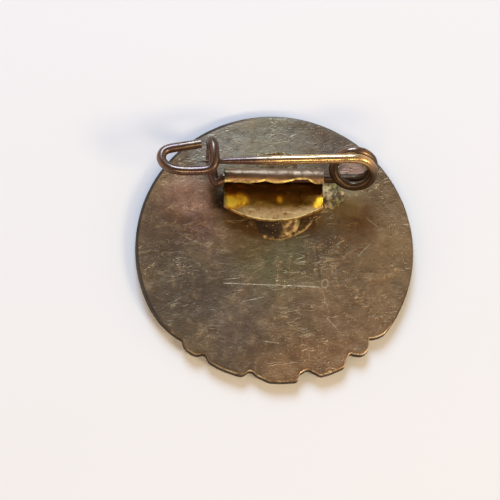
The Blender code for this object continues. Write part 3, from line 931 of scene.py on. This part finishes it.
def clip_point(along, down):
    """The middle of the sheet: along -1 to 1 from end to end, down 0 at the front edge to 1."""
    x = along * CLIP_WIDTH / 2
    flat_share = 0.45
    hammered = noise.noise(Vector((along * 2.2, down * 3.0, 0.7))) * 0.05 * MM
    hammered += noise.noise(Vector((along * 7.0, down * 8.0, 2.7))) * 0.014 * MM
    if down < flat_share:
        share = down / flat_share
        front = CLIP_FRONT_Y + CLIP_FRONT_RADIUS - math.sqrt(CLIP_FRONT_RADIUS**2 - x * x)
        y = front + (ARM_Y - front) * share
        lift = CLIP_LIP * (1 - share) ** 2 + CLIP_END_CURL * along**4 * (1 - share) ** 1.5
        # the plate is dished along its middle
        dish = -0.05 * MM * math.sin(math.pi * min(1.0, share * 1.2)) * (1 - along**4)
        return Vector((x, y, CLIP_Z + SHEET / 2 + lift + dish + hammered * (1 - share)))
    wide = CRIMP_DENT_WIDTH * (1.5 if along < CRIMP_DENT_AT else 0.7)
    dent = CRIMP_DENT * math.exp(-(((along - CRIMP_DENT_AT) / wide) ** 2))
    dent += 9 * math.exp(-(((along + 0.2) / 0.08) ** 2))
    end = ROLL_END_ANGLE - dent + 3 * math.sin(9 * along) + 1.5 * math.sin(23 * along + 1)
    angle = math.radians(-90 + (end + 90) * (down - flat_share) / (1 - flat_share))
    late = smooth(0.6, 1.0, down)
    radius = ROLL_RADIUS - hammered * late * 0.8
    radius -= abs(noise.noise(Vector((along * 4.5, down * 5.0, 9.1)))) * 0.07 * MM * smooth(0.55, 0.75, down)
    return Vector((x, ARM_Y + radius * math.cos(angle), ARM_Z + radius * math.sin(angle)))


shape = bmesh.new()
wear = shape.verts.layers.float.new("rubbed")
bmesh.ops.create_grid(shape, x_segments=120, y_segments=140, size=1.0)
for vert in shape.verts:
    along, down = vert.co.x, (vert.co.y + 1) / 2
    vert[wear] = max(smooth(0.955, 0.985, down), 0.9 * (1 - smooth(0.0, 0.016, down)))
    vert.co = clip_point(along, down)
bmesh.ops.recalc_face_normals(shape, faces=shape.faces)
clip = finish_piece("folded_clip", shape)
clip.location.x = CLIP_CENTRE_X
sheet = clip.modifiers.new("sheet", "SOLIDIFY")
sheet.thickness = SHEET
sheet.offset = 0
edges = clip.modifiers.new("burr", "BEVEL")
edges.width = 0.07 * MM
edges.segments = 3
edges.limit_method = "ANGLE"
edges.angle_limit = math.radians(55)
edges.harden_normals = False

brass, tree, shader = new_material("bright_clip_brass")
place = object_place(tree)
broad = noise_value(tree, place, 420.0, 5.0, 0.6, 0.5)
small = noise_value(tree, place, 1700.0, 4.0, 0.6)
colour = blend_colours(tree, ramp(tree, broad, 0.3, 0.7), rgb(112, 72, 20), rgb(144, 96, 34))
parts = add_node(tree, "ShaderNodeSeparateXYZ", inputs={0: place}).outputs
GLINT_PATCHES = (  # painted reflections of the lamp, hot orange-yellow: centre from the clip's middle and reach, in millimetres
    (-4.2, 4.35, 1.1), (-3.3, 4.6, 0.9), (0.6, 4.75, 0.6),
    (4.5, 4.25, 0.42), (4.7, 4.7, 0.36),
)
# painted glints: the lamp's hot reflections in the dished plate, orange-yellow with paler middles
glint = highest(tree, [round_patch(tree, place, *patch, 0.6) for patch in GLINT_PATCHES])
below_roll = ramp(tree, parts["Z"], ARM_Z, ARM_Z - 0.1 * MM)
glint = times(tree, glint, below_roll)
glint_core = times(tree, ramp(tree, glint, 0.5, 1.0), ramp(tree, broad, 0.35, 0.6))
# painted reflection of the sky: a paler tan over the front edge of the plate, which is also duller
lip_sheen = ramp(tree, parts["Y"], CLIP_FRONT_Y + 1.75 * MM, CLIP_FRONT_Y + 1.0 * MM)
lip_sheen = times(tree, lip_sheen, minus(tree, 1.0, times(tree, glint, 0.8)))
lip_sheen = times(tree, lip_sheen, ramp(tree, parts["X"], -4.4 * MM, -2.0 * MM, 0.3, 1.0))
# painted shade: dark brown on the plate under the roll's free edge
shade_under_roll = times(tree, ramp(tree, parts["Y"], 5.0 * MM, 5.7 * MM), below_roll)
up_roll = ramp(tree, parts["Z"], ARM_Z + 0.1 * MM, ARM_Z + ROLL_RADIUS * 0.6)
tarnish = times(tree, up_roll, ramp(tree, broad, 0.2, 0.5, 0.75, 1.0))
stain = times(tree, ramp(tree, small, 0.52, 0.7), 0.4)
# painted shade at the clip's left end, mixed with verdigris
end_shade_and_verdigris = ramp(tree, parts["X"], -4.55 * MM, -4.95 * MM)
verdigris = blend_colours(tree, ramp(tree, small, 0.4, 0.6), rgb(62, 58, 34), rgb(104, 112, 78))
hair = place_group(tree, scratches, Place=place, Turn=0.15, Scale=0.9, Amount=0.8)["Mask"]
colour = tint(
    tree, colour,
    # painted light and shade: glints, the paler front edge and the band under the roll; painted shade with
    # verdigris at the left end
    (glint, rgb(236, 148, 16)),
    (glint_core, rgb(255, 208, 60)),
    (lip_sheen, rgb(184, 140, 88), 0.8),
    (shade_under_roll, rgb(74, 50, 22), 0.85),
    (tarnish, rgb(136, 108, 84)),
    (stain, rgb(98, 70, 34)),
    (end_shade_and_verdigris, verdigris, 0.75),
    (hair, rgb(250, 226, 160), 0.5),
)
worn = place_group(
    tree, wearing, Colour=colour, Bare=rgb(255, 226, 150), Pattern=small, Low=0.38, High=0.54, Least=0.2
)
shader.inputs["Metallic"].default_value = 1.0
gloss = ramp(tree, broad, 0.3, 0.7, 0.26, 0.36)
for mask, duller in ((stain, 0.4), (lip_sheen, 0.14), (tarnish, 0.1), (glint, 0.06)):
    gloss = plus(tree, gloss, times(tree, mask, duller))
fine_share = minus(tree, 0.45, times(tree, glint, 0.4))
relief = plus(tree, times(tree, broad, 1.2), times(tree, small, fine_share))
relief = minus(tree, relief, times(tree, hair, 0.2))
finish_material(tree, shader, relief, 0.06 * MM, 0.8, Base_Color=worn["Colour"], Roughness=gloss)
clip.data.materials.append(brass)
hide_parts("clip_plate")
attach(clip, "badge")

# ---------------------------------------------------------------------------
# The pin: one length of drawn brass wire. From the right it is the arm through
# the clip, then at the left the catch and the hairpin that guards the point;
# at the other end it is wound into the spring and ground to a long point.
# ---------------------------------------------------------------------------

COIL_RADIUS = 2.0 * MM
COIL_GAP = 0.2 * MM
COIL_OFF_CLIP = 0.42 * MM
COIL_TURNS = 1.5
COIL_LEAN = 56.0  # degrees that its axis leans towards the badge's lower rim
COIL_YAW = -4.0
NEEDLE_PAST_CATCH = 1.77 * MM
NEEDLE_DROP = 2.7 * MM
NEEDLE_SIDE = 0.3 * MM
NEEDLE_TAPER = (  # share of its length, share of the wire's radius
    (0.0, 1.0), (0.52, 1.0), (0.69, 0.86), (0.8, 0.68),
    (0.855, 0.54), (0.89, 0.45), (0.945, 0.26), (1.0, 0.1),
)
CATCH_OFF_CLIP = 1.15 * MM
CATCH_CLEARANCE = 0.06 * MM
CLIP_LEFT = CLIP_CENTRE_X - CLIP_WIDTH / 2
CATCH_X = CLIP_LEFT - CATCH_OFF_CLIP
COIL_X = CLIP_CENTRE_X + CLIP_WIDTH / 2 + COIL_OFF_CLIP + COIL_RADIUS + WIRE_RADIUS
COIL_PITCH = 2 * WIRE_RADIUS + COIL_GAP
WIRE_SIDES = 28
ROUTE_STEP = 0.12 * MM


def coil_axes():
    lean, yaw = math.radians(COIL_LEAN), math.radians(COIL_YAW)
    axis = Vector((math.sin(yaw), -math.cos(yaw) * math.sin(lean), math.cos(yaw) * math.cos(lean)))
    across = (Vector((1, 0, 0)) - axis.x * axis).normalized()
    return axis, across, axis.cross(across)


coil_axis, coil_across, coil_up = coil_axes()
coil_centre = (
    Vector((COIL_X, ARM_Y, ARM_Z)) + COIL_RADIUS * coil_up + COIL_TURNS / 2 * COIL_PITCH * coil_axis
)


def coil_point(turn):
    angle = 2 * math.pi * turn
    round_it = COIL_RADIUS * (math.sin(angle) * coil_across - math.cos(angle) * coil_up)
    return coil_centre + round_it + (turn - COIL_TURNS / 2) * COIL_PITCH * coil_axis


def smooth_route(points, step):
    """A smooth curve through the points, with a point about every step."""
    points = [Vector(p) for p in points]
    ends = [2 * points[0] - points[1], *points, 2 * points[-1] - points[-2]]
    found = []
    for i in range(1, len(ends) - 2):
        a, b, c, d = ends[i - 1 : i + 3]
        count = max(1, round((c - b).length / step))
        for k in range(count):
            t = k / count
            bent = (2 * a - 5 * b + 4 * c - d) * t * t + (3 * b - a - 3 * c + d) * t**3
            found.append(0.5 * (2 * b + (c - a) * t + bent))
    return [*found, points[-1]]


def evened(route, step, passes=6):
    """The route with its corners eased, and its points step apart."""
    for _ in range(passes):
        route = [
            route[0],
            *[(a + 2 * b + c) / 4 for a, b, c in zip(route, route[1:], route[2:])],
            route[-1],
        ]
    lengths = [0.0]
    for a, b in zip(route, route[1:]):
        lengths.append(lengths[-1] + (b - a).length)
    count = max(2, round(lengths[-1] / step))
    spaced, k = [], 0
    for i in range(count + 1):
        want = lengths[-1] * i / count
        while k < len(lengths) - 2 and lengths[k + 1] < want:
            k += 1
        share = (want - lengths[k]) / max(1e-12, lengths[k + 1] - lengths[k])
        spaced.append(route[k].lerp(route[k + 1], share))
    return spaced


def needle_line(share):
    root = coil_point(COIL_TURNS)
    reach = root.x - CATCH_X + NEEDLE_PAST_CATCH
    return root + Vector((-reach, NEEDLE_SIDE, -NEEDLE_DROP)) * share


def tarnished(at):
    return 0.0


def catch_radius(share):
    """The catch was squeezed a little flat as it was bent, so it looks heavier from above."""
    return WIRE_RADIUS * (1 + 0.1 * smooth(0.42, 0.46, share) * (1 - smooth(0.66, 0.7, share)))


def bright_to_the_catch(at):
    """The needle is handled most, and is the brighter for it."""
    return smooth(-3.0, 1.5, at.x / MM) * (1 - 0.8 * smooth(8.4, 9.6, at.x / MM))


def dull_spring(at):
    return 0.2


def painted_shade_and_dark_catch(at):
    """Painted shade: the wire right of the clip and low down, the arm's end and the lower part of the
    spring, lies in shade and is painted dark.
    """
    in_shade = smooth(4.2, 4.9, at.x / MM) * (1 - smooth(5.6, 7.2, at.z / MM)) * 0.95
    # the wire is also darker over the bends of the catch
    in_catch = smooth(-7.3, -6.8, at.x / MM) * (1 - smooth(-5.6, -5.1, at.x / MM)) * 0.5
    return max(in_shade, in_catch)


def wire_mesh(name, route, radius_at=None, bright=tarnished, dome=0.0):
    """A tube along the route. UV runs along its length in metres and once round it."""
    shape = bmesh.new()
    wear = shape.verts.layers.float.new("rubbed")
    wire_shade = shape.verts.layers.float.new("painted_shade")
    uv_layer = shape.loops.layers.uv.new("along")
    heading = (route[1] - route[0]).normalized()
    side = heading.orthogonal().normalized()
    travelled, rings, lengths = 0.0, [], []
    last = len(route) - 1
    for i, at in enumerate(route):
        ahead = (route[min(i + 1, last)] - route[max(i - 1, 0)]).normalized()
        side = (side - side.dot(ahead) * ahead).normalized()
        up = ahead.cross(side)
        if i:
            travelled += (at - route[i - 1]).length
        radius = radius_at(i / last) if radius_at else WIRE_RADIUS
        ring = []
        for k in range(WIRE_SIDES):
            angle = 2 * math.pi * k / WIRE_SIDES
            way = math.cos(angle) * side + math.sin(angle) * up
            bruise = noise.noise((at + way * radius) / MM * 0.9) * 0.018
            ring.append(shape.verts.new(at + way * radius * (1 + bruise)))
            ring[-1][wear] = bright(at)
            ring[-1][wire_shade] = painted_shade_and_dark_catch(at)
        rings.append(ring)
        lengths.append(travelled)
    for i in range(last):
        for k in range(WIRE_SIDES):
            after = (k + 1) % WIRE_SIDES
            face = shape.faces.new((rings[i][k], rings[i][after], rings[i + 1][after], rings[i + 1][k]))
            for loop, (row, turn) in zip(face.loops, ((i, k), (i, k + 1), (i + 1, k + 1), (i + 1, k))):
                loop[uv_layer].uv = (lengths[row], turn / WIRE_SIDES)
    first_end, last_end = (route[0] - route[1]).normalized(), (route[-1] - route[-2]).normalized()
    cap_ring(shape, rings[0], route[0] + first_end * dome, turned=True)
    cap_ring(shape, rings[-1], route[-1] + last_end * dome)
    return finish_piece(name, shape, sharp=50)


root, point = needle_line(0), needle_line(1)
caught = (root.x - CATCH_X) / (root.x - point.x)
needle_top = needle_line(caught).z + WIRE_RADIUS * between(NEEDLE_TAPER, caught)
CATCH_Z = needle_top + CATCH_CLEARANCE + WIRE_RADIUS
LOWER_STRAND = (  # in millimetres from the clip's left end, on the arm's own axis
    (0.35, 0.0, 0.0), (-0.1, -0.1, 0.0), (-0.45, -0.5, -0.1), (-0.8, -0.5, -0.25),
    (-1.05, 0.15, -0.35), (-1.2, 1.05, -0.35), (-1.27, 2.15, -0.05), (-1.25, 3.1, 0.75),
)
UPPER_STRAND = (  # in millimetres from the catch, at the height that clears the needle
    (-0.25, 3.35, -1.2), (-0.15, 3.05, -0.45), (-0.05, 2.35, 0.0), (0.0, 1.45, 0.1),
    (0.0, 0.75, 0.03), (-0.25, 0.2, -0.03), (-0.95, -0.07, -0.1), (-2.95, -0.13, -0.2),
    (-4.25, 0.1, -0.3), (-5.05, 0.65, -0.35), (-5.3, 1.25, -0.4), (-5.05, 1.95, -0.5),
    (-4.35, 2.3, -0.55), (-3.25, 2.5, -0.6), (-1.3, 2.9, -0.7),
)
catch_route = [
    Vector((start + x * MM, ARM_Y + y * MM, base + z * MM))
    for points, start, base in ((LOWER_STRAND, CLIP_LEFT, ARM_Z), (UPPER_STRAND, CATCH_X, CATCH_Z))
    for x, y, z in points
]
arm_route = [coil_point(0.0), Vector((COIL_X - 1.2 * MM, ARM_Y, ARM_Z)), Vector((0, ARM_Y, ARM_Z))]
back_route = evened(smooth_route([*arm_route, *catch_route], ROUTE_STEP), ROUTE_STEP)
back_wire = wire_mesh("pin_arm_and_catch", back_route, catch_radius, dome=0.03 * MM)

SPRING_JOIN = 1.22  # the turn where the spring's mesh hands over to the needle's
SPRING_STEPS, BEND_STEPS, NEEDLE_STEPS = 150, 34, 12
spring_route = [coil_point(SPRING_JOIN * i / SPRING_STEPS) for i in range(SPRING_STEPS + 1)]
spring = wire_mesh("pin_spring", spring_route, bright=dull_spring)

turns_left = COIL_TURNS - SPRING_JOIN
bend_route = [coil_point(SPRING_JOIN + turns_left * i / BEND_STEPS) for i in range(BEND_STEPS + 1)]
heading = (bend_route[-1] - bend_route[-2]).normalized()
straight = [needle_line(i / NEEDLE_STEPS) for i in range(1, NEEDLE_STEPS + 1)]
through = [root, root + heading * 0.4 * MM, *straight]
needle_route = evened([*bend_route[:-1], *smooth_route(through, ROUTE_STEP)], ROUTE_STEP, 3)
needle_length = sum((b - a).length for a, b in zip(needle_route, needle_route[1:]))
bend_length = sum((b - a).length for a, b in zip(bend_route, bend_route[1:]))


def needle_radius(share):
    """Full wire over its first half, then ground down to a long point."""
    share = max(0.0, (share * needle_length - bend_length) / (needle_length - bend_length))
    nearby = [min(1.0, share + off) for off in (-0.04, -0.02, 0.0, 0.02, 0.04)]
    eased = sum(between(NEEDLE_TAPER, at) for at in nearby) / len(nearby)
    return WIRE_RADIUS * (eased if share < 0.94 else between(NEEDLE_TAPER, share))


needle = wire_mesh("pin_needle_wire", needle_route, needle_radius, bright=bright_to_the_catch)

drawn, tree, shader = new_material("drawn_pin_wire")
place = object_place(tree)
broad = noise_value(tree, place, 380.0, 5.0, 0.6, 0.4)
small = noise_value(tree, place, 2200.0, 4.0, 0.6)
colour = blend_colours(tree, ramp(tree, broad, 0.35, 0.65), rgb(112, 90, 84), rgb(120, 98, 84))
rosy = ramp(tree, noise_value(tree, place, 190.0, 3.0), 0.42, 0.6, 0.0, 0.6)
colour = tint(tree, colour, (rosy, rgb(112, 86, 86)))
worn = place_group(
    tree, wearing, Colour=colour, Bare=rgb(226, 188, 132), Pattern=broad, Low=0.2, High=0.6, Least=0.55
)
brown = times(tree, ramp(tree, small, 0.5, 0.7), 0.65)
colour = tint(tree, worn["Colour"], (brown, rgb(84, 58, 36)))
gloss = plus(tree, ramp(tree, broad, 0.3, 0.7, 0.19, 0.28), times(tree, brown, 0.2))
# painted shade on the wire where it is marked, and the catch darker
shade_look = place_group(
    tree, shade_painting, Colour=colour, Dirt=rgb(62, 44, 30), Cover=1.0, Roughness=gloss, More_Roughness=0.2
)
wire_uv = add_node(tree, "ShaderNodeUVMap", uv_map="along").outputs[0]
streaks = noise_value(tree, vector_step(tree, "MULTIPLY", wire_uv, (260.0, 26.0, 1.0)), 1.0, 3.0, 0.6)
colour = tint(tree, shade_look["Colour"], (ramp(tree, streaks, 0.5, 0.72, 0.0, 0.4), rgb(214, 186, 140)))
shader.inputs["Metallic"].default_value = 0.9
relief = plus(tree, times(tree, streaks, 0.5), times(tree, small, 0.6))
finish_material(tree, shader, relief, 0.03 * MM, 0.45, Base_Color=colour, Roughness=shade_look["Roughness"])
for piece in (back_wire, spring, needle):
    piece.data.materials.append(drawn)
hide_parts("pin_back_wire")
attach(back_wire, "badge")
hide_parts("coil_back_turn", "coil_front_turn")
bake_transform(spring)
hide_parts("pin_needle")
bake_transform(needle)
